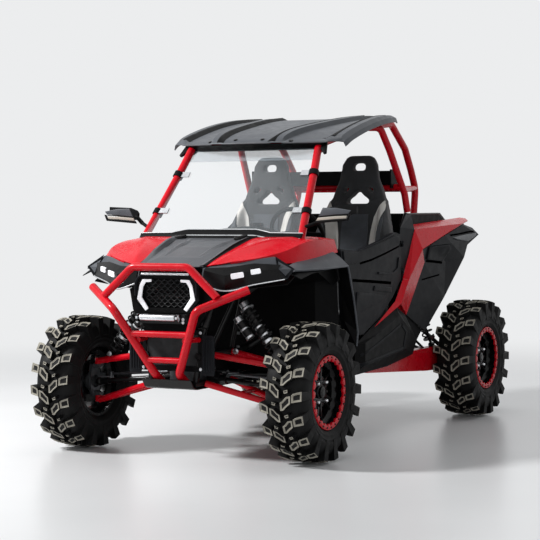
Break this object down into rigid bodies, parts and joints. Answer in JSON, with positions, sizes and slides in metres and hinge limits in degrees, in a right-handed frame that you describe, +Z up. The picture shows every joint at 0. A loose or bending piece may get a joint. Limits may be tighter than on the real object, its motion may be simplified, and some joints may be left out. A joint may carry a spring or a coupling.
{
  "type": "side by side utility vehicle",
  "caption": "Open off-road sport vehicle for two people side by side, with roll cage, roof, clear windscreen, front tube bumper, cargo bed, opening doors and steered knobbly wheels.",
  "frame": {"origin": "on the ground under the middle of the overall box", "axes": "+X to the vehicle's left, -Y forwards, +Z up"},
  "size_m": [1.656, 3.0806, 1.89],
  "materials": {
    "tyre_rubber": "dark ribbed rubber",
    "black_wheel": "satin black",
    "red_paint": "gloss red powder coat",
    "black_steel": "satin black",
    "red_plastic": "gloss red",
    "dark_plastic": "matte dark grey",
    "black_plastic": "matte black",
    "screen": "clear",
    "light_cover": "white lens",
    "silver": "brushed",
    "seat_cloth": "dark with light bolsters",
    "cast_metal": "as cast",
    "core": "dark fins"
  },
  "bodies": {
    "chassis": {"frame": "black_steel", "front_arms": "red_paint", "trailing_arms": "red_paint", "rear_hubs": "cast_metal", "rear_links": "black_steel", "shocks": "black_steel", "engine_block": "cast_metal", "front_gearbox": "cast_metal", "drive_shafts": "black_steel", "skid_plate": "black_steel", "bumper": "red_paint", "roll_cage": "red_paint", "rear_bar": "black_plastic", "roof": "dark_plastic", "windscreen": "screen", "windscreen_trim": "black_plastic", "windscreen_clamps": "silver", "cabin_tub": "black_plastic", "rockers": "black_plastic", "side_panels": "dark_plastic", "cargo_bed": "black_plastic", "rear_fenders": "dark_plastic", "side_trim": "red_plastic", "grille": "black_plastic", "nose": "black_plastic", "radiator": "core", "winch": "black_steel", "hood": "dark_plastic", "front_panels": "red_plastic", "lamp_housings": "black_plastic", "front_arches": "black_plastic", "wheel_liners": "black_plastic", "dashboard": "black_plastic", "seat_left": "seat_cloth", "seat_right": "seat_cloth", "mirrors": "black_plastic", "hitch_plate": "black_steel", "springs": "black_steel", "grille_mesh": "black_plastic", "headlamps": "light_cover", "tail_lamps": "red_plastic", "exhaust": "silver"},
    "wheel_front_left": {"tyre_fl": "tyre_rubber", "rim_fl": "black_wheel", "beadlock_fl": "red_paint"},
    "wheel_front_right": {"tyre_fr": "tyre_rubber", "rim_fr": "black_wheel", "beadlock_fr": "red_paint"},
    "wheel_rear_left": {"tyre_rl": "tyre_rubber", "rim_rl": "black_wheel", "beadlock_rl": "red_paint"},
    "wheel_rear_right": {"tyre_rr": "tyre_rubber", "rim_rr": "black_wheel", "beadlock_rr": "red_paint"},
    "upright_left": {"knuckle_left": "cast_metal"},
    "upright_right": {"knuckle_right": "cast_metal"},
    "rack": {"tie_rods": "silver"},
    "hand_wheel": {"steering_wheel": "black_plastic"},
    "door_front_left": {"door_left": "dark_plastic"},
    "door_front_right": {"door_right": "dark_plastic"}
  },
  "joints": [
    {"name": "steer_left", "type": "hinge", "parent": "chassis", "child": "upright_left", "pos_m": [0.62, -1.112, 0.368], "axis": [0, 0, 1], "range_deg": [-30, 30]},
    {"name": "steer_right", "type": "hinge", "parent": "chassis", "child": "upright_right", "pos_m": [-0.62, -1.112, 0.368], "axis": [0, 0, 1], "range_deg": [-30.5, 30.5]},
    {"name": "rack_slide", "type": "slide", "parent": "chassis", "child": "rack", "axis": [1, 0, 0], "range_m": [-0.051, 0.051]},
    {"name": "steering_column", "type": "hinge", "parent": "chassis", "child": "hand_wheel", "pos_m": [0.304, -0.472, 1.18], "axis": [0, 0.8829, 0.4695], "range_deg": [-241, 241]},
    {"name": "roll_front_left", "type": "hinge", "parent": "upright_left", "child": "wheel_front_left", "pos_m": [0.707, -1.112, 0.368], "axis": [1, 0, 0], "continuous": true},
    {"name": "roll_front_right", "type": "hinge", "parent": "upright_right", "child": "wheel_front_right", "pos_m": [-0.707, -1.112, 0.368], "axis": [1, 0, 0], "continuous": true},
    {"name": "roll_rear_left", "type": "hinge", "parent": "chassis", "child": "wheel_rear_left", "pos_m": [0.707, 1.174, 0.368], "axis": [1, 0, 0], "continuous": true},
    {"name": "roll_rear_right", "type": "hinge", "parent": "chassis", "child": "wheel_rear_right", "pos_m": [-0.707, 1.174, 0.368], "axis": [1, 0, 0], "continuous": true},
    {"name": "door_hinge_left", "type": "hinge", "parent": "chassis", "child": "door_front_left", "pos_m": [0.62, 0.28, 1], "axis": [0, 0, 1], "range_deg": [0, 70]},
    {"name": "door_hinge_right", "type": "hinge", "parent": "chassis", "child": "door_front_right", "pos_m": [-0.62, 0.28, 1], "axis": [0, 0, -1], "range_deg": [0, 70]}
  ],
  "couplings": [
    {"joint": "steer_right", "follows": "steer_left", "ratio": 1},
    {"joint": "rack_slide", "follows": "steer_left", "m_per_rad": -0.0955},
    {"joint": "steering_column", "follows": "steer_left", "ratio": 8}
  ]
}
